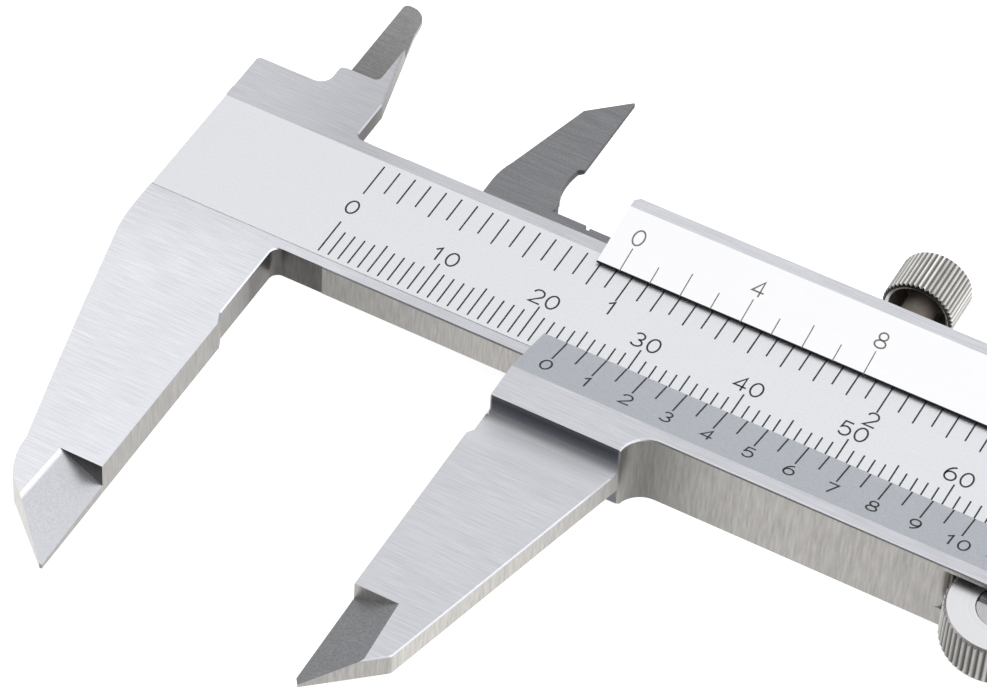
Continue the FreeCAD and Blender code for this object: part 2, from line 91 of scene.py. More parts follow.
# How far the scales count, and where their marks and the centres of their numerals lie across
# them, in metres. A list of ends gives the longest marks first: (10, end) is every tenth mark.
RANGE_MM, RANGE_INCHES = 150, 6
METRIC_FOOT_Y = -6.065 * MM
METRIC_ENDS = ((10, -1.97 * MM), (5, -2.44 * MM), (1, -2.93 * MM))
METRIC_NUMERAL_Y, METRIC_ZERO_Y = -0.97 * MM, 0.08 * MM
INCH_HEAD_Y = 5.93 * MM
INCH_ENDS = ((16, 2.02 * MM), (2, 2.48 * MM), (1, 2.98 * MM))
INCH_NUMERAL_Y = 1.06 * MM
BAND_ENDS = ((2, -7.6 * MM), (1, -7.0 * MM))
BAND_NUMERAL_Y = -8.72 * MM
BEVEL_ENDS = ((2, 7.66 * MM), (1, 6.96 * MM))
BEVEL_NUMERAL_Y = 8.82 * MM


# ---- settings that a user would change ---------------------------------------------
def length(name, description, default):
    return FloatProperty(name=name, description=description, default=default, min=0.0,
                         precision=6, unit="LENGTH", subtype="DISTANCE")


def colour(name, description, default):
    return FloatVectorProperty(name=name, description=description, default=default, size=3,
                               min=0.0, max=1.0, subtype="COLOR")


def angle(name, description, degrees):
    return FloatProperty(name=name, description=description, default=math.radians(degrees),
                         unit="ROTATION", subtype="ANGLE")


class CALIPER_PG_marks(bpy.types.PropertyGroup):
    line: length("Line width", "Width of a graduation on the beam and the lower vernier", 0.15 * MM)
    fine_line: length("Fine line width", "Width of a graduation on the upper vernier", 0.1 * MM)
    stroke: length("Stroke", "Width of a numeral's stroke", 0.17 * MM)
    fine_stroke: length("Fine stroke", "Width of a numeral's stroke on the upper vernier",
                        0.15 * MM)
    beam_numeral: length("Beam numerals", "Height of the numerals on the beam", 1.6 * MM)
    vernier_numeral: length("Vernier numerals", "Height of the lower vernier's numerals", 1.42 * MM)
    bevel_numeral: length("Bevel numerals", "Height of the upper vernier's numerals", 1.56 * MM)
    proud: length("Fill height", "How far the enamel fill stands proud of the steel", 0.012 * MM)
    sunk: length("Fill depth", "How deep the enamel fill reaches into the steel", 0.03 * MM)
    ink: colour("Enamel", "Black enamel in the graduations", (0.022, 0.021, 0.02))
    fine_ink: colour("Grey enamel", "Thinner enamel in the upper vernier", (0.17, 0.16, 0.145))


class CALIPER_PG_steel(bpy.types.PropertyGroup):
    face: colour("Ground face", "Front faces, ground along the beam", (0.61, 0.62, 0.655))
    edge: colour("Ground edge", "Narrow sides, ground across the thickness", (0.79, 0.765, 0.73))
    satin: colour("Satin scale", "The sunk graduated face", (0.81, 0.825, 0.855))
    band: colour("Vernier band", "The lower vernier's sloped face", (0.66, 0.69, 0.74))
    bevel: colour("Upper bevel", "The upper vernier's sloped face", (0.91, 0.91, 0.925))
    # Also the painted shade of the sliding jaw's knife pocket, lightened.
    arm: colour("Jaw relief", "The sliding inside jaw's ground relief", (0.255, 0.258, 0.27))
    dark: colour("Relief", "Ground reliefs left dark", (0.26, 0.26, 0.262))
    # Painted shade: near black under the slider's shoulder, along the upper bevel's edge and round
    # the lock screw's lip.
    deep: colour("Deep relief", "Corners that the wheel left dark", (0.088, 0.09, 0.1))
    knob: colour("Knurled parts", "Lock screw and thumb roller", (0.80, 0.79, 0.77))
    # Painted shade in the knurl grooves.
    groove: colour("Knurl grooves", "Between the ribs of the knurled parts", (0.17, 0.16, 0.145))
    # Painted shade in the hollow under the lock screw's head, brownish and mottled.
    well: colour("Lock screw well", "The turned hollow under the lock screw's head",
                 (0.2, 0.175, 0.155))
    cap: colour("Roller cap", "The thumb roller's turned end", (0.76, 0.765, 0.785))
    screw: colour("Screws", "Turned screws, axle and washer", (0.52, 0.52, 0.53))
    plate: colour("Plates", "Back cover and end stop", (0.70, 0.70, 0.71))
    bronze: colour("Gib", "Phosphor bronze strip", (0.62, 0.40, 0.22))
    brass: colour("Pad", "Brass lock pad", (0.76, 0.58, 0.28))


class CALIPER_PG_stage(bpy.types.PropertyGroup):
    azimuth: angle("Azimuth", "Direction the camera looks, from +Y towards -X", 25.56)
    elevation: angle("Elevation", "How far the camera looks down", 47.84)
    roll: angle("Roll", "The camera's turn about its own axis", 3.9)
    distance: length("Distance", "From the camera to the point it looks at", 0.4012)
    lens: FloatProperty(name="Lens", description="Focal length in millimetres", default=168.68,
                        min=20.0, unit="CAMERA")
    floor: colour("Floor", "The pale table", (0.9, 0.9, 0.9))


GROUPS = (CALIPER_PG_marks, CALIPER_PG_steel, CALIPER_PG_stage)


# ---- engraved marks ----------------------------------------------------------------
def arc(x, y, wide, high, start, end, steps=14):
    """Points along part of an ellipse about (x, y), from one angle in degrees to another."""
    points = []
    for i in range(steps + 1):
        a = math.radians(start + (end - start) * i / steps)
        points.append((x + wide * math.cos(a), y + high * math.sin(a)))
    return points


# Each numeral is a list of strokes in a cell one unit high, centred on the origin.
SIX = [arc(0, -0.18, 0.32, 0.32, 0, 360), arc(0.22, -0.16, 0.54, 0.66, 182, 98)]
NUMERALS = {
    "0": [arc(0, 0, 0.33, 0.5, 90, 450, 24)],
    "1": [[(-0.22, 0.27), (0.06, 0.5), (0.06, -0.5)]],
    "2": [arc(0, 0.2, 0.31, 0.3, 170, -38) + [(-0.32, -0.5), (0.35, -0.5)]],
    "3": [arc(-0.02, 0.25, 0.27, 0.25, 155, -90), arc(-0.03, -0.25, 0.32, 0.25, 90, -155)],
    "4": [[(0.14, -0.5), (0.14, 0.5), (-0.36, -0.2), (0.36, -0.2)]],
    "5": [[(0.27, 0.5), (-0.2, 0.5), (-0.27, 0.02)] + arc(0, -0.17, 0.32, 0.33, 140, -150)],
    "6": SIX,
    "7": [[(-0.32, 0.5), (0.32, 0.5), (-0.1, -0.5)]],
    "8": [arc(0, 0.25, 0.26, 0.25, -90, 270), arc(0, -0.25, 0.33, 0.25, 90, 450)],
    "9": [[(-x, -y) for x, y in stroke] for stroke in SIX],
}
ADVANCE = 0.925             # from one numeral's centre to the next, in numeral heights


def beam_face(x, y, lift):
    """A point on the beam's sunk scale, lifted off it."""
    return Vector((x, y, SCALE_Z + lift))


def slope(y, y0, z0, y1, z1):
    """Height at y on the slope through (y0, z0) and (y1, z1)."""
    return z0 + (z1 - z0) * (y - y0) / (y1 - y0)


def band_face(x, y, lift):
    """A point on the lower vernier's band."""
    return Vector((x, y, slope(y, BAND_HIGH_Y, BAND_HIGH_Z, BAND_LOW_Y, BAND_LOW_Z) + lift))


def bevel_face(x, y, lift):
    """A point on the upper vernier's bevel."""
    return Vector((x, y, slope(y, BEVEL_LOW_Y, BEVEL_LOW_Z, BEVEL_HIGH_Y, BEVEL_HIGH_Z) + lift))


def mark_end(i, ends):
    """Where mark number i ends, from (number, end) pairs with the longest marks first."""
    return next(end for number, end in ends if i % number == 0)


class Engraving:
    """A set of enamel-filled marks on one face, gathered into one mesh."""

    def __init__(self, face, proud, sunk):
        self.face = face
        self.proud = proud
        self.sunk = sunk
        self.mesh = bmesh.new()

    def stroke(self, points, width):
        """A band of constant width along the points, as deep as the enamel."""
        closed = (Vector(points[0]) - Vector(points[-1])).length < width * 0.1
        path = [Vector(p) for p in (points[:-1] if closed else points)]
        count = len(path)
        rings = []
        for i, here in enumerate(path):
            before = path[i - 1] if closed or i else None
            after = path[(i + 1) % count] if closed or i < count - 1 else None
            runs = [(b - a).normalized() for a, b in ((before, here), (here, after)) if a and b]
            along = sum(runs, Vector((0.0, 0.0))).normalized()
            reach = width / 2 / max(0.45, along.dot(runs[0]))
            side = Vector((-along.y, along.x)) * reach
            rings.append([self.mesh.verts.new(self.face(q.x, q.y, lift)) for q, lift in
                          ((here + side, self.proud), (here - side, self.proud),
                           (here - side, -self.sunk), (here + side, -self.sunk))])
        for i in range(count if closed else count - 1):
            near, far = rings[i], rings[(i + 1) % count]
            for k in range(4):
                self.mesh.faces.new((near[k], near[(k + 1) % 4], far[(k + 1) % 4], far[k]))
        if not closed:
            self.mesh.faces.new(rings[0][::-1])
            self.mesh.faces.new(rings[-1])

    def tick(self, x, y0, y1, width):
        """One straight mark across the scale."""
        self.stroke([(x, y0), (x, y1)], width)

    def number(self, text, x, y, height, width):
        """A number centred on (x, y)."""
        left = x - (len(text) - 1) / 2 * ADVANCE * height
        for i, numeral in enumerate(text):
            centre = left + i * ADVANCE * height
            for stroke in NUMERALS[numeral]:
                self.stroke([(centre + px * height, y + py * height) for px, py in stroke], width)

    def finish(self, name, body, slot, material):
        """Makes the marks one piece that rides on a body."""
        bmesh.ops.recalc_face_normals(self.mesh, faces=self.mesh.faces)
        data = bpy.data.meshes.new(name)
        self.mesh.to_mesh(data)
        self.mesh.free()
        piece = bpy.data.objects.new(name, data)
        bpy.context.scene.collection.objects.link(piece)
        data.materials.append(material)
        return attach(piece, body)


# ---- node materials ------------------------------------------------------------------
BUMP = 0.02 * MM            # height of the finishes' bump


class Nodes:
    """Short calls that add nodes to a tree and return their output sockets."""

    def __init__(self, tree):
        self.tree = tree

    def node(self, kind, inputs=(), **settings):
        """Adds a node, with its settings and its inputs by name or number."""
        made = self.tree.nodes.new(kind)
        for key, value in settings.items():
            setattr(made, key, value)
        for key, value in inputs:
            self.feed(made.inputs[key], value)
        return made

    def feed(self, socket, value):
        """Links a socket to another one, or sets it to a number or a colour."""
        if isinstance(value, bpy.types.NodeSocket):
            self.tree.links.new(value, socket)
        elif hasattr(value, "__len__") and len(value) < len(socket.default_value):
            socket.default_value = (*value, 1.0)
        else:
            socket.default_value = value

    def split(self, vector):
        """The X, Y and Z of a vector."""
        parts = self.node("ShaderNodeSeparateXYZ", ((0, vector),)).outputs
        return parts[0], parts[1], parts[2]

    def math(self, operation, a, b=0.0):
        return self.node("ShaderNodeMath", ((0, a), (1, b)), operation=operation).outputs[0]

    def above(self, value, level, soft):
        """Nought below the level and one above it, with a soft step between."""
        span = (("Value", value), ("From Min", level - soft), ("From Max", level + soft))
        return self.node("ShaderNodeMapRange", span, interpolation_type="SMOOTHSTEP").outputs[0]

    def below(self, value, level, soft):
        """One below the level and nought above it."""
        return self.math("SUBTRACT", 1.0, self.above(value, level, soft))

    def within(self, value, low, high, soft):
        """One between two levels and nought outside them."""
        return self.every(self.above(value, low, soft), self.below(value, high, soft))

    def every(self, *masks):
        """The product of masks or greys."""
        result = masks[0]
        for mask in masks[1:]:
            result = self.math("MULTIPLY", result, mask)
        return result

    def either(self, *masks):
        """The highest of the masks."""
        result = masks[0]
        for mask in masks[1:]:
            result = self.math("MAXIMUM", result, mask)
        return result

    def tone(self, value, low, high):
        """Maps nought to one onto low to high."""
        span = (("Value", value), ("To Min", low), ("To Max", high))
        return self.node("ShaderNodeMapRange", span).outputs[0]

    def levels(self, value, stops):
        """A smooth curve of grey levels through (place, level) stops."""
        ramp = self.node("ShaderNodeValToRGB", ((0, value),))
        elements = ramp.color_ramp.elements
        while len(elements) < len(stops):
            elements.new(0.5)
        for element, (place, level) in zip(elements, stops):
            element.position = place
            element.color = (level, level, level, 1.0)
        return ramp.outputs[0]

    def along(self, value, stops):
        """Grey levels at given distances along an axis: (metres, level), in order."""
        first, last = stops[0][0], stops[-1][0]
        span = (("Value", value), ("From Min", first), ("From Max", last))
        place = self.node("ShaderNodeMapRange", span).outputs[0]
        return self.levels(place, [((at - first) / (last - first), level) for at, level in stops])

    def choose(self, mask, a, b):
        """Grey a where the mask is nought, and b where it is one."""
        other = self.math("SUBTRACT", 1.0, mask)
        return self.math("ADD", self.math("MULTIPLY", other, a), self.math("MULTIPLY", mask, b))


class Finish(Nodes):
    """A metal finish under construction, placed by the part's own coordinates."""

    def __init__(self, name, metallic=1.0):
        self.material = bpy.data.materials.new(name)
        self.material.use_nodes = True
        super().__init__(self.material.node_tree)
        self.shader = self.tree.nodes["Principled BSDF"]
        self.shader.inputs["Metallic"].default_value = metallic
        coords = self.tree.nodes.new("ShaderNodeTexCoord")
        self.place = coords.outputs["Object"]
        self.x, self.y, self.z = self.split(self.place)
        self.facing_x, self.facing_y, self.facing_z = self.split(coords.outputs["Normal"])

    def upright(self, level=0.3, soft=0.1):
        """One on faces that stand upright, nought on faces that look up or down."""
        return self.below(self.math("ABSOLUTE", self.facing_z), level, soft)

    def noise(self, scales, detail=2.0):
        """Noise with its own number of features per metre along X, Y and Z."""
        stretched = self.node("ShaderNodeMapping", (("Vector", self.place), ("Scale", scales)))
        pattern = self.node("ShaderNodeTexNoise", (("Vector", stretched.outputs[0]), ("Scale", 1.0),
                                                   ("Detail", detail)))
        return pattern.outputs[0]

    def mix(self, mask, a, b):
        """Colour a where the mask is nought, and b where it is one."""
        blend = self.node("ShaderNodeMix", ((0, mask), (6, a), (7, b)), data_type="RGBA")
        return blend.outputs[2]

    def shade(self, colour, *greys):
        """Colour times one or more grey values."""
        value = self.every(*greys)
        grey = self.node("ShaderNodeCombineXYZ", ((0, value), (1, value), (2, value))).outputs[0]
        product = self.node("ShaderNodeVectorMath", ((0, colour), (1, grey)), operation="MULTIPLY")
        return product.outputs[0]

    def from_axis(self, a, centre_a, b, centre_b):
        """Distance from a knurled part's own axis."""
        da = self.math("SUBTRACT", a, centre_a)
        db = self.math("SUBTRACT", b, centre_b)
        square = self.math("ADD", self.every(da, da), self.every(db, db))
        return self.math("SQRT", square)

    def paint(self, colour, roughness, height=None, strength=0.1):
        """Connects the finish to its shader and returns the material."""
        self.feed(self.shader.inputs["Base Color"], colour)
        self.feed(self.shader.inputs["Roughness"], roughness)
        if height is not None:
            bump = self.node("ShaderNodeBump", (("Height", height), ("Strength", strength),
                                                ("Distance", BUMP)))
            self.tree.links.new(bump.outputs[0], self.shader.inputs["Normal"])
        return self.material


FINE = 8200.0               # grinding lines per metre across the grind
LONG = 280.0                # and along it
CLOUD = 90.0                # broad tonal variation per metre
SPECK = 5200.0              # fine speckle per metre
TURNED = 1600.0             # turning marks per metre on the small parts
RINGS = 3800.0              # turned rings per metre on the roller's end
ENAMEL = 5000.0             # grains per metre in the enamel


def ground_steel(finish, look, light):
    """Front faces ground along the beam and sides ground across it, times painted light and shade.

    Returns the colour, the grain and the speckle."""
    along_x = finish.noise((LONG, FINE, FINE), 4.0)
    along_z = finish.noise((FINE * 0.5, FINE * 0.5, LONG * 1.6), 4.0)
    cloud = finish.noise((CLOUD, CLOUD, CLOUD), 3.0)
    speck = finish.noise((SPECK, SPECK, SPECK), 2.0)
    side = finish.upright(0.45, 0.15)
    front = finish.math("SUBTRACT", 1.0, side)
    grain = finish.math("ADD", finish.every(along_x, front), finish.every(along_z, side))
    streak = finish.math("ADD", finish.every(finish.tone(grain, 0.74, 1.26), front),
                         finish.every(finish.tone(grain, 0.62, 1.36), side))
    colour = finish.shade(finish.mix(side, look.face, look.edge), streak,
                          finish.tone(speck, 0.95, 1.05), finish.tone(cloud, 0.94, 1.05), light)
    return colour, grain, speck


def cloudy(finish):
    """Soft mottling, used in the painted shade of the beam's notch and of the lock screw's well."""
    return finish.noise((700.0, 700.0, 500.0), 4.0)


def satin_rough(finish, grain, satin):
    """Roughness of ground steel, higher where a mask says that it is satin."""
    return finish.math("ADD", finish.tone(grain, 0.3, 0.42), finish.math("MULTIPLY", satin, 0.14))


def beam_light(finish):
    """Painted light and shade on the beam's ground faces, from place to place."""
    x, y, z = finish.x, finish.y, finish.z
    # Painted light and shade on the front faces: lighter on the outside jaw's leg and along the
    # rail, darker on the head, and darker on the tip's knife relief where it would shine.
    leg = finish.every(finish.below(y, -9.0 * MM, 6.0 * MM), finish.below(x, 4.0 * MM, 6.0 * MM))
    rail = finish.every(finish.below(y, -5.0 * MM, 1.0 * MM), finish.below(x, 4.0 * MM, 12.0 * MM))
    head = finish.every(finish.above(y, 6.0 * MM, 1.0 * MM), finish.above(x, -9.0 * MM, 5.0 * MM),
                        finish.below(x, 2.0 * MM, 6.0 * MM))
    tip = finish.every(finish.below(y, TIP_STEP_Y, 0.05 * MM), finish.below(z, 3.2 * MM, 0.1 * MM))
    front = finish.every(finish.choose(leg, finish.tone(rail, 0.97, 1.15), 1.3),
                         finish.tone(head, 1.0, 0.87), finish.tone(tip, 1.0, 0.6))
    # Painted shade on the sides: the lower edge darker towards the jaw, and the right-hand sides of
    # both fixed jaws darker towards their roots, as painted shadow and reflection.
    lower_edge = finish.along(x, ((1.6 * MM, 0.66), (18.0 * MM, 0.98)))
    outside_jaw = finish.along(y, ((-36.0 * MM, 0.62), (-22.0 * MM, 0.6), (-17.0 * MM, 0.53),
                                   (-13.6 * MM, 0.42), (-10.0 * MM, 0.2), (-8.0 * MM, 0.13)))
    inside_jaw = finish.along(y, ((8.0 * MM, 0.16), (11.0 * MM, 0.2), (13.0 * MM, 0.36),
                                  (22.0 * MM, 0.7)))
    right = finish.above(finish.facing_x, 0.3, 0.2)
    upper = finish.above(y, 0.0, 1.0 * MM)
    side = finish.choose(right, lower_edge, finish.choose(upper, outside_jaw, inside_jaw))
    # Painted shade, mottled, in the notch at the left of the beam's lower edge.
    notch = finish.every(finish.within(y, -12.0 * MM, -7.2 * MM, 0.3 * MM),
                         finish.below(x, NOTCH_END, 0.03 * MM),
                         finish.above(x, -3.6 * MM, 0.1 * MM))
    side = finish.choose(notch, side, finish.tone(cloudy(finish), 0.16, 0.32))
    # Painted shade on the step where the outside jaw's knife relief begins.
    tip_step = finish.every(
        finish.within(y, TIP_STEP_Y - 0.3 * MM, TIP_STEP_Y + 0.3 * MM, 0.1 * MM),
        finish.below(finish.facing_y, -0.7, 0.1))
    side = finish.choose(tip_step, side, finish.along(z, ((1.7 * MM, 0.22), (3.4 * MM, 0.1))))
    # Painted highlight on the left-facing edge of the outside jaw's tip.
    left_tip = finish.every(finish.below(y, -30.0 * MM, 2.0 * MM),
                            finish.below(finish.facing_x, -0.3, 0.1))
    side = finish.choose(left_tip, side, 1.2)
    return finish.choose(finish.upright(), front, side)


def beam_steel(look):
    """Ground all over, with a sunk satin scale and a dark relief on the inside jaw."""
    finish = Finish("beam_ground_steel")
    y, z = finish.y, finish.z
    steel, grain, speck = ground_steel(finish, look, beam_light(finish))
    up = finish.above(finish.facing_z, 0.9, 0.05)
    sunk = finish.every(up, finish.above(z, SCALE_Z - 0.05 * MM, 0.02 * MM),
                        finish.below(z, SCALE_Z + 0.06 * MM, 0.02 * MM))
    relief = finish.every(finish.above(y, RELIEF_Y, 0.1 * MM),
                          finish.below(z, RELIEF_Z, 0.1 * MM), up)
    colour = finish.mix(sunk, steel, finish.shade(look.satin, finish.tone(speck, 0.93, 1.05)))
    colour = finish.mix(relief, colour, finish.shade(
        look.dark, finish.tone(grain, 0.6, 1.4), finish.tone(speck, 0.75, 1.25),
        finish.along(y, ((RELIEF_Y, 0.78), (26.0 * MM, 1.2)))))
    return finish.paint(colour, satin_rough(finish, grain, sunk),
                        finish.every(grain, finish.math("SUBTRACT", 1.0, sunk)))


def slider_light(finish, upright):
    """Painted light and shade on the slider's ground faces, from place to place."""
    x, y = finish.x, finish.y
    # Painted shade on the block's lower side, darkest next to the shoulder.
    lower_side = finish.every(upright, finish.below(y, BLOCK_LOW_Y + 0.3 * MM, 0.1 * MM),
                              finish.above(x, BLOCK_LEFT + 6.0 * MM, 0.5 * MM),
                              finish.above(y, SHOULDER_Y - 0.2 * MM, 0.1 * MM))
    side_tone = finish.along(x, ((33.0 * MM, 0.42), (36.0 * MM, 0.46), (37.8 * MM, 0.6),
                                 (41.4 * MM, 0.86), (48.0 * MM, 1.0), (63.0 * MM, 0.93)))
    # Painted light: the land above the upper bevel a little lighter.
    top_land = finish.every(finish.above(y, BEVEL_HIGH_Y - 0.1 * MM, 0.05 * MM),
                            finish.above(x, BLOCK_LEFT, 0.02 * MM))
    # Painted shade on the sliding jaw's right-hand side, darker towards its root.
    jaw_side = finish.every(upright, finish.above(finish.facing_x, 0.3, 0.1),
                            finish.below(y, SHOULDER_Y, 0.3 * MM))
    jaw_tone = finish.along(y, ((-40.0 * MM, 0.93), (-25.0 * MM, 0.84), (-18.0 * MM, 0.7),
                                (-15.0 * MM, 0.5)))
    block = finish.choose(lower_side, finish.tone(top_land, 1.0, 1.09), side_tone)
    return finish.choose(jaw_side, block, jaw_tone)


def slider_steel(look):
    """Ground all over, with satin vernier slopes, dark reliefs and painted shade round the jaws."""
    finish = Finish("slider_ground_steel")
    x, y, z = finish.x, finish.y, finish.z
    upright = finish.upright()
    up = finish.above(finish.facing_z, 0.8, 0.1)
    steel, grain, speck = ground_steel(finish, look, slider_light(finish, upright))
    band = finish.every(finish.above(finish.facing_y, 0.12, 0.04), up,
                        finish.above(z, 3.38 * MM, 0.02 * MM),
                        finish.below(y, BAND_HIGH_Y + 0.3 * MM, 0.1 * MM))
    bevel = finish.every(finish.below(finish.facing_y, -0.12, 0.04), up,
                         finish.above(y, BEVEL_LOW_Y + 0.02 * MM, 0.02 * MM))
    arm = finish.every(finish.above(y, ARM_Y, 0.05 * MM), finish.below(x, BLOCK_LEFT, 0.02 * MM))
    # Painted shade: the sliding outside jaw's knife pocket takes the dark relief colour.
    pocket = finish.every(finish.below(finish.facing_x, -0.25, 0.1),
                          finish.above(finish.facing_z, 0.5, 0.1),
                          finish.below(y, POCKET_Y, 0.1 * MM))
    # Painted shade on the wall under the slider's shoulder, with lighter painted streaks.
    wall = finish.every(
        upright, finish.within(y, SHOULDER_Y - 0.3 * MM, SHOULDER_Y + 0.3 * MM, 0.1 * MM),
        finish.within(x, BLOCK_LEFT + 0.1 * MM, SHOULDER_RIGHT, 0.1 * MM))
    # Painted shade in the cove under the shoulder, darkening towards the wall.
    cove = finish.every(
        finish.above(y, SHOULDER_Y - 3.4 * MM, 0.8 * MM),
        finish.below(y, SHOULDER_Y + 0.1 * MM, 0.05 * MM),
        finish.within(x, BLOCK_LEFT - 3.0 * MM, SHOULDER_RIGHT + 0.35 * MM, 0.1 * MM),
        finish.above(finish.facing_z, 0.1, 0.1),
        finish.within(z, 2.0 * MM, 3.4 * MM, 0.05 * MM))
    # Painted shadow along the upper bevel's front edge.
    lip = finish.every(
        finish.within(y, BEVEL_LOW_Y - 0.5 * MM, BEVEL_LOW_Y + 0.16 * MM, 0.03 * MM),
        finish.above(z, 3.35 * MM, 0.02 * MM))
    cove_tone = finish.along(y, ((SHOULDER_Y - 1.1 * MM, 1.0), (SHOULDER_Y - 0.7 * MM, 0.95),
                                 (SHOULDER_Y - 0.35 * MM, 0.7), (SHOULDER_Y, 0.36)))
    wall_tone = finish.along(z, ((3.0 * MM, 3.4), (3.7 * MM, 1.6), (4.4 * MM, 0.85),
                                 (5.1 * MM, 1.5)))
    colour = finish.mix(band, steel, finish.shade(look.band, finish.tone(speck, 0.86, 1.1)))
    colour = finish.mix(bevel, colour, look.bevel)
    # The inside jaw's relief colour, with painted shade on its upright faces; the knife pocket gets
    # it lightened as painted shade.
    colour = finish.mix(finish.either(arm, pocket), colour, finish.shade(
        look.arm, finish.tone(grain, 0.6, 1.4), finish.tone(speck, 0.75, 1.25),
        finish.tone(pocket, 1.0, 1.5), finish.tone(upright, 1.0, 0.55)))
    colour = finish.mix(cove, colour, finish.shade(look.face, finish.tone(grain, 1.0, 1.3),
                                                   cove_tone))
    # Near-black painted shade on the shoulder's wall and along the bevel's edge.
    colour = finish.mix(finish.either(wall, lip), colour,
                        finish.shade(look.deep, finish.choose(lip, wall_tone, 0.2)))
    satin = finish.either(band, bevel, arm, pocket)
    # The cove is made dull, so that its painted shade is not lit by reflections.
    finish.feed(finish.shader.inputs["Metallic"], finish.tone(cove, 1.0, 0.1))
    return finish.paint(colour, satin_rough(finish, grain, finish.either(satin, cove)),
                        finish.every(grain, finish.math("SUBTRACT", 1.0, satin)))


def knurled_steel(name, look, axis, centre, radius, depth):
    """Bright ribs round an axis, with painted shade in the grooves between them.

    Returns the finish, its colour and fine grain, the distance from the axis, and how far
    a face looks along it."""
    finish = Finish(name)
    wear = finish.noise((900.0, 900.0, 900.0), 4.0)
    fine = finish.noise((4200.0, 4200.0, 4200.0), 3.0)
    if axis == "y":
        axial = finish.facing_y
        reach = finish.from_axis(finish.x, centre.x, finish.z, centre.z)
    else:
        axial = finish.facing_z
        reach = finish.from_axis(finish.x, centre.x, finish.y, centre.y)
    flank = finish.below(finish.math("ABSOLUTE", axial), 0.4, 0.1)
    # Painted shade in the grooves between the ribs.
    groove = finish.every(finish.below(reach, radius - 0.45 * depth, 0.35 * depth), flank,
                          finish.above(reach, radius - 1.6 * depth, 0.1 * depth))
    rib = finish.shade(look.knob, finish.tone(wear, 0.8, 1.15), finish.tone(fine, 0.9, 1.1))
    colour = finish.mix(finish.math("MULTIPLY", groove, 0.9), rib, look.groove)
    return finish, colour, fine, reach, axial


def lock_steel(look):
    """The lock screw: a knurled head, a lip with a painted highlight, and painted shade round the
    lip and in the well.
    """
    centre = (LOCK_LOW + LOCK_HIGH) / 2
    radius = (LOCK_HIGH.x - LOCK_LOW.x) / 2
    finish, colour, fine, reach, axial = knurled_steel("lock_screw_steel", look, "y", centre,
                                                       radius, LOCK_KNURL)
    below = finish.below(axial, -0.3, 0.1)
    # Painted shadow on the head's underside outside the lip.
    ring = finish.every(below, finish.above(reach, LOCK_LIP_OUT, 0.02 * MM))
    # Painted highlight on the lip.
    lip = finish.every(below, finish.within(reach, LOCK_LIP_IN, LOCK_LIP_OUT, 0.02 * MM))
    # Painted shade in the well under the head, mottled and brownish, and made dull.
    well = finish.every(finish.below(reach, LOCK_LIP_IN + 0.06 * MM, 0.02 * MM),
                        finish.below(finish.y, LOCK_HIGH.y - 0.6 * MM, 0.1 * MM))
    colour = finish.mix(ring, colour, finish.shade(look.deep, 0.5))
    mottled = finish.tone(cloudy(finish), 0.4, 1.6)
    colour = finish.mix(well, colour, finish.shade(look.well, mottled))
    colour = finish.mix(lip, colour, (0.95, 0.95, 0.95))
    finish.feed(finish.shader.inputs["Metallic"], finish.tone(well, 1.0, 0.2))
    rough = finish.math("ADD", finish.tone(fine, 0.2, 0.36), finish.math("MULTIPLY", well, 0.2))
    return finish.paint(colour, rough, fine, 0.05)


def roller_steel(look):
    """The thumb roller: a knurled rim and a turned end."""
    centre = (ROLLER_LOW + ROLLER_HIGH) / 2
    radius = (ROLLER_HIGH.x - ROLLER_LOW.x) / 2
    finish, colour, fine, reach, axial = knurled_steel("thumb_roller_steel", look, "z", centre,
                                                       radius, ROLLER_KNURL)
    cap = finish.above(axial, 0.9, 0.05)
    turned = finish.node("ShaderNodeCombineXYZ", ((0, reach),)).outputs[0]
    rings = finish.node("ShaderNodeTexNoise", (("Vector", turned), ("Scale", RINGS))).outputs[0]
    colour = finish.mix(cap, colour, finish.shade(look.cap, finish.tone(rings, 0.88, 1.08)))
    height = finish.choose(cap, fine, rings)
    return finish.paint(colour, finish.tone(fine, 0.26, 0.36), height, 0.02)


def turned_steel(name, tint):
    """Small turned parts."""
    finish = Finish(name)
    grain = finish.noise((TURNED, TURNED, TURNED), 3.0)
    return finish.paint(finish.shade(tint, finish.tone(grain, 0.82, 1.16)),
                        finish.tone(grain, 0.26, 0.42), grain, 0.08)


def sheet_steel(name, tint):
    """Rolled sheet and strip, with its grain along the beam."""
    finish = Finish(name)
    grain = finish.noise((LONG, FINE, FINE), 3.0)
    cloud = finish.noise((CLOUD, CLOUD, CLOUD))
    colour = finish.shade(tint, finish.tone(grain, 0.82, 1.12), finish.tone(cloud, 0.94, 1.05))
    return finish.paint(colour, finish.tone(grain, 0.3, 0.44), grain)


def enamel(name, tint):
    """Dull enamel with a fine grain."""
    finish = Finish(name, metallic=0.0)
    grain = finish.noise((ENAMEL, ENAMEL, ENAMEL))
    return finish.paint(finish.shade(tint, finish.tone(grain, 0.6, 1.5)),
                        finish.tone(grain, 0.45, 0.7), grain, 0.1)


def cover(node, material):
    """Gives a CAD node its finish."""
    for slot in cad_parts[node].material_slots:
        slot.material = material


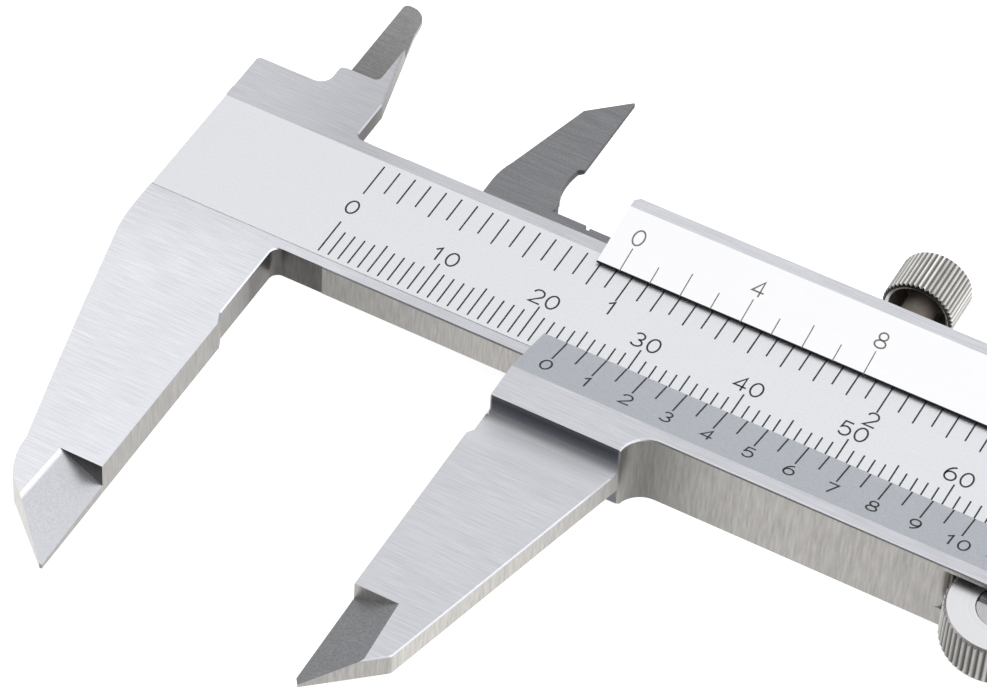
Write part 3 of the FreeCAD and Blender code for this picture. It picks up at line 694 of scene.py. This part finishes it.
# ---- operators -------------------------------------------------------------------------
class CALIPER_OT_beam_scales(bpy.types.Operator):
    """Engraves the metric and inch scales on the beam"""
    bl_idname = "caliper.beam_scales"
    bl_label = "Beam Scales"

    def execute(self, context):
        look = context.scene.caliper_marks
        ink = enamel("black_enamel", look.ink)
        metric = Engraving(beam_face, look.proud, look.sunk)
        for i in range(RANGE_MM + 1):
            metric.tick(i * MM, METRIC_FOOT_Y, mark_end(i, METRIC_ENDS), look.line)
        for i in range(10, RANGE_MM + 1, 10):
            metric.number(str(i), i * MM, METRIC_NUMERAL_Y, look.beam_numeral, look.stroke)
        metric.number("0", 0.0, METRIC_ZERO_Y, look.beam_numeral, look.stroke)
        metric.finish("metric_scale", "beam", "satin_steel", ink)
        inches = Engraving(beam_face, look.proud, look.sunk)
        for i in range(RANGE_INCHES * 16 + 1):
            inches.tick(i * INCH / 16, mark_end(i, INCH_ENDS), INCH_HEAD_Y, look.line)
        for i in range(1, RANGE_INCHES + 1):
            inches.number(str(i), i * INCH, INCH_NUMERAL_Y, look.beam_numeral, look.stroke)
        inches.finish("inch_scale", "beam", "satin_steel", ink)
        return {"FINISHED"}


class CALIPER_OT_verniers(bpy.types.Operator):
    """Engraves the metric vernier, 20 parts in 39 mm, and the inch one, 8 parts in 15/16"""
    bl_idname = "caliper.verniers"
    bl_label = "Verniers"

    def execute(self, context):
        look = context.scene.caliper_marks
        metric = Engraving(band_face, look.proud, look.sunk)
        for i in range(21):
            x = OPENING + i * 39 * MM / 20
            metric.tick(x, BAND_HIGH_Y - 0.05 * MM, mark_end(i, BAND_ENDS), look.line)
            if i % 2 == 0:
                metric.number(str(i // 2), x, BAND_NUMERAL_Y, look.vernier_numeral, look.stroke)
        metric.finish("metric_vernier", "slider", "slider_steel",
                      enamel("vernier_enamel", look.ink))
        inches = Engraving(bevel_face, look.proud, look.sunk)
        for i in range(9):
            x = OPENING + i * 15 / 16 * INCH / 8
            inches.tick(x, BEVEL_LOW_Y + 0.05 * MM, mark_end(i, BEVEL_ENDS), look.fine_line)
            if i % 4 == 0:
                inches.number(str(i), x, BEVEL_NUMERAL_Y, look.bevel_numeral, look.fine_stroke)
        inches.finish("inch_vernier", "slider", "slider_steel",
                      enamel("grey_enamel", look.fine_ink))
        return {"FINISHED"}


class CALIPER_OT_beam_steel(bpy.types.Operator):
    """Finishes the beam with its fixed jaws"""
    bl_idname = "caliper.beam_steel"
    bl_label = "Beam Steel"

    def execute(self, context):
        cover("beam", beam_steel(context.scene.caliper_steel))
        return {"FINISHED"}


class CALIPER_OT_slider_steel(bpy.types.Operator):
    """Finishes the slider with its jaws and vernier faces"""
    bl_idname = "caliper.slider_steel"
    bl_label = "Slider Steel"

    def execute(self, context):
        cover("slider", slider_steel(context.scene.caliper_steel))
        return {"FINISHED"}


class CALIPER_OT_knurled_parts(bpy.types.Operator):
    """Finishes the lock screw and the thumb roller"""
    bl_idname = "caliper.knurled_parts"
    bl_label = "Knurled Parts"

    def execute(self, context):
        look = context.scene.caliper_steel
        cover("lock_screw", lock_steel(look))
        cover("thumb_roller", roller_steel(look))
        return {"FINISHED"}


class CALIPER_OT_small_parts(bpy.types.Operator):
    """Finishes the plates, the depth rod, the screws, the axle, the gib and the lock pad"""
    bl_idname = "caliper.small_parts"
    bl_label = "Small Parts"

    def execute(self, context):
        look = context.scene.caliper_steel
        plate = sheet_steel("satin_plate_steel", look.plate)
        for node in ("back_cover", "end_stop_plate", "depth_rod"):
            cover(node, plate)
        screw = turned_steel("turned_screw_steel", look.screw)
        for node in ("end_stop_screws", "gib_screws", "cover_screws", "rod_screw", "roller_axle",
                     "roller_washer"):
            cover(node, screw)
        cover("gib_strip", sheet_steel("rolled_bronze", look.bronze))
        cover("lock_pad", turned_steel("turned_brass", look.brass))
        return {"FINISHED"}


class CALIPER_OT_stage(bpy.types.Operator):
    """Sets up the pale floor, the soft studio light and the camera"""
    bl_idname = "caliper.stage"
    bl_label = "Stage"

    FLOOR_HALF = 3.0            # half the floor's side, in metres
    FLOOR_GAP = 0.02 * MM       # from the caliper's back down to the floor
    AIM = (18.76 * MM, -8.165 * MM, SCALE_Z)    # the point that the camera looks at

    def execute(self, context):
        look = context.scene.caliper_stage
        self.floor(look)
        self.studio(context.scene)
        self.camera(context.scene, look)
        context.scene.view_settings.view_transform = "Standard"
        return {"FINISHED"}

    def floor(self, look):
        """A wide pale table just under the caliper, out of its reflections."""
        finish = Finish("pale_floor", metallic=0.0)
        cloud = finish.noise((9.0, 9.0, 9.0))
        finish.paint(finish.shade(look.floor, finish.tone(cloud, 0.99, 1.0)), 0.8)
        finish.shader.inputs["Emission Color"].default_value = (1.0, 1.0, 1.0, 1.0)
        finish.shader.inputs["Emission Strength"].default_value = 0.7
        half, z = self.FLOOR_HALF, CAD_BOX[0][2] - self.FLOOR_GAP
        data = bpy.data.meshes.new("floor")
        corners = [(-half, -half, z), (half, -half, z), (half, half, z), (-half, half, z)]
        data.from_pydata(corners, [], [(0, 1, 2, 3)])
        data.materials.append(finish.material)
        floor = bpy.data.objects.new("floor", data)
        bpy.context.scene.collection.objects.link(floor)
        floor.visible_glossy = False
        floor.visible_diffuse = False

    def studio(self, scene):
        """One soft sky: light from above and behind, dim above the horizon in front."""
        world = bpy.data.worlds.new("studio")
        world.use_nodes = True
        scene.world = world
        sky = Nodes(world.node_tree)
        coords = sky.node("ShaderNodeTexCoord")
        x, y, z = sky.split(coords.outputs["Generated"])
        height = sky.node("ShaderNodeMapRange", (("Value", z), ("From Min", -1.0))).outputs[0]
        level = sky.levels(height, ((0.0, 0.62), (0.42, 0.52), (0.5, 0.3), (0.58, 0.22),
                                    (0.68, 0.55), (0.8, 0.95), (0.9, 1.05), (0.97, 1.25)))
        front = sky.every(sky.below(y, -0.5, 0.25), sky.above(z, 0.02, 0.12))
        dimmed = sky.every(level, sky.tone(front, 1.0, 0.15))
        back_low = sky.every(sky.below(z, -0.12, 0.2), sky.above(y, 0.0, 0.6))
        window = sky.every(sky.above(x, 0.55, 0.2), sky.within(z, 0.05, 0.8, 0.15))
        light = sky.math("ADD", dimmed, sky.math("ADD", sky.math("MULTIPLY", back_low, 0.42),
                                                 sky.math("MULTIPLY", window, 1.1)))
        background = world.node_tree.nodes["Background"]
        sky.feed(background.inputs["Strength"], light)
        background.inputs["Color"].default_value = (1.0, 1.0, 1.0, 1.0)

    def camera(self, scene, look):
        """Looks down at the jaws, from the side that the scales read from."""
        turn = Euler((math.pi / 2 - look.elevation, 0.0, look.azimuth)).to_matrix()
        data = bpy.data.cameras.new("camera")
        data.lens = look.lens
        data.clip_start = 0.01
        camera = bpy.data.objects.new("camera", data)
        roll = Euler((0.0, 0.0, look.roll)).to_matrix()
        matrix = (turn @ roll).to_4x4()
        matrix.translation = Vector(self.AIM) + turn @ Vector((0.0, 0.0, look.distance))
        camera.matrix_world = matrix
        scene.collection.objects.link(camera)
        scene.camera = camera


OPERATORS = (CALIPER_OT_stage, CALIPER_OT_beam_scales, CALIPER_OT_verniers, CALIPER_OT_beam_steel,
             CALIPER_OT_slider_steel, CALIPER_OT_knurled_parts, CALIPER_OT_small_parts)


class CALIPER_PT_tools(bpy.types.Panel):
    """Lists the caliper's operators and settings"""
    bl_idname = "CALIPER_PT_tools"
    bl_label = "Vernier Caliper"
    bl_space_type = "VIEW_3D"
    bl_region_type = "UI"
    bl_category = "Caliper"

    def draw(self, context):
        for operator in OPERATORS:
            self.layout.operator(operator.bl_idname)
        for group in (context.scene.caliper_marks, context.scene.caliper_steel,
                      context.scene.caliper_stage):
            column = self.layout.column()
            for key in group.__annotations__:
                column.prop(group, key)


def register():
    """Registers the classes and puts the settings on the scene."""
    for cls in GROUPS + OPERATORS + (CALIPER_PT_tools,):
        bpy.utils.register_class(cls)
    bpy.types.Scene.caliper_marks = PointerProperty(type=CALIPER_PG_marks)
    bpy.types.Scene.caliper_steel = PointerProperty(type=CALIPER_PG_steel)
    bpy.types.Scene.caliper_stage = PointerProperty(type=CALIPER_PG_stage)


def unregister():
    del bpy.types.Scene.caliper_stage
    del bpy.types.Scene.caliper_steel
    del bpy.types.Scene.caliper_marks
    for cls in reversed(GROUPS + OPERATORS + (CALIPER_PT_tools,)):
        bpy.utils.unregister_class(cls)


def main():
    """Runs every operator in order."""
    register()
    for operator in OPERATORS:
        category, name = operator.bl_idname.split(".")
        getattr(getattr(bpy.ops, category), name)()


if __name__ == "__main__":
    main()
